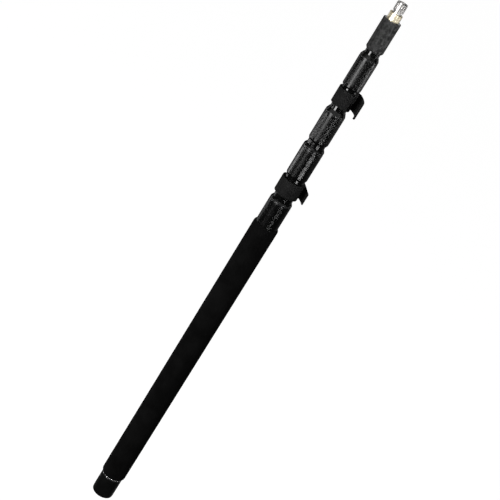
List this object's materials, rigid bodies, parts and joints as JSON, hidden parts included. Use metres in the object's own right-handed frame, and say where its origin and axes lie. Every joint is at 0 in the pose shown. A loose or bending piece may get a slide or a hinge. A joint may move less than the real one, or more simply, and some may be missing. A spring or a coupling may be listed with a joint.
{
  "type": "boom pole",
  "caption": "Collapsed telescoping boom pole with a foam grip, twist-lock collars, clip-on cable hooks and a threaded tip stud for a microphone mount.",
  "frame": {"origin": "centre of the flat butt face, at the lower end of the pole", "axes": "+Z along the pole towards the threaded tip; +X towards the side that the cable clips reach out on; -Y is the side that their channels open to"},
  "size_m": [0.0489, 0.04, 0.919],
  "materials": {
    "black_tube": "gloss black anodised tube",
    "foam": "very matt closed-cell foam",
    "cap_plastic": "satin moulded black",
    "bright_ring": "bright turned",
    "nylon": "natural nylon",
    "rubber_pad": "matt",
    "nut_metal": "black anodised",
    "collar_rubber": "satin ribbed rubber",
    "ring_plastic": "satin moulded black",
    "clip_plastic": "matt moulded black",
    "core_metal": "machined",
    "head_rubber": "fine grained",
    "screw_steel": "black oxide",
    "brass": "bright turned",
    "stud_steel": "bright plated thread"
  },
  "bodies": {
    "grip_section": {"base_tube": "black_tube", "foam_grip": "foam", "end_cap": "cap_plastic", "end_cap_ring": "bright_ring", "end_plug": "nylon", "bottom_bumper": "rubber_pad", "collet_1": "nylon"},
    "collar_1": {"collar_nut_1": "nut_metal", "collar_grip_1": "collar_rubber", "collar_ring_1": "ring_plastic"},
    "collar_2": {"collar_nut_2": "nut_metal", "collar_grip_2": "collar_rubber", "collar_ring_2": "ring_plastic"},
    "collar_3": {"collar_nut_3": "nut_metal", "collar_grip_3": "collar_rubber", "collar_ring_3": "ring_plastic"},
    "collar_4": {"collar_nut_4": "nut_metal", "collar_grip_4": "collar_rubber", "collar_ring_4": "ring_plastic"},
    "section_2": {"tube_2": "black_tube", "guide_bush_2": "nylon", "stop_ring_2": "nylon", "collet_2": "nylon"},
    "section_3": {"tube_3": "black_tube", "guide_bush_3": "nylon", "stop_ring_3": "nylon", "collet_3": "nylon"},
    "section_4": {"tube_4": "black_tube", "guide_bush_4": "nylon", "stop_ring_4": "nylon", "collet_4": "nylon"},
    "section_5": {"tube_5": "black_tube", "guide_bush_5": "nylon", "stop_ring_5": "nylon", "head_core": "core_metal", "head_sleeve": "head_rubber", "head_screws": "screw_steel", "stud_collar": "brass", "tip_bolt": "stud_steel", "tip_stud": "stud_steel"},
    "clip_1": {"cable_clip_1": "clip_plastic"},
    "clip_2": {"cable_clip_2": "clip_plastic"}
  },
  "joints": [
    {"name": "section_2_slide", "type": "slide", "parent": "grip_section", "child": "section_2", "axis": [0, 0, 1], "range_m": [0, 0.47]},
    {"name": "section_3_slide", "type": "slide", "parent": "section_2", "child": "section_3", "axis": [0, 0, 1], "range_m": [0, 0.525]},
    {"name": "section_4_slide", "type": "slide", "parent": "section_3", "child": "section_4", "axis": [0, 0, 1], "range_m": [0, 0.56]},
    {"name": "section_5_slide", "type": "slide", "parent": "section_4", "child": "section_5", "axis": [0, 0, 1], "range_m": [0, 0.575]},
    {"name": "collar_1_twist", "type": "hinge", "parent": "grip_section", "child": "collar_1", "pos_m": [0, 0, 0.592], "axis": [0, 0, 1], "range_deg": [0, 270]},
    {"name": "collar_2_twist", "type": "hinge", "parent": "section_2", "child": "collar_2", "pos_m": [0, 0, 0.684], "axis": [0, 0, 1], "range_deg": [0, 270]},
    {"name": "collar_3_twist", "type": "hinge", "parent": "section_3", "child": "collar_3", "pos_m": [0, 0, 0.745], "axis": [0, 0, 1], "range_deg": [0, 270]},
    {"name": "collar_4_twist", "type": "hinge", "parent": "section_4", "child": "collar_4", "pos_m": [0, 0, 0.835], "axis": [0, 0, 1], "range_deg": [0, 270]},
    {"name": "clip_1_swivel", "type": "hinge", "parent": "section_2", "child": "clip_1", "pos_m": [0, 0, 0.614], "axis": [0, 0, 1], "continuous": true},
    {"name": "clip_2_swivel", "type": "hinge", "parent": "section_4", "child": "clip_2", "pos_m": [0, 0, 0.7675], "axis": [0, 0, 1], "continuous": true}
  ]
}
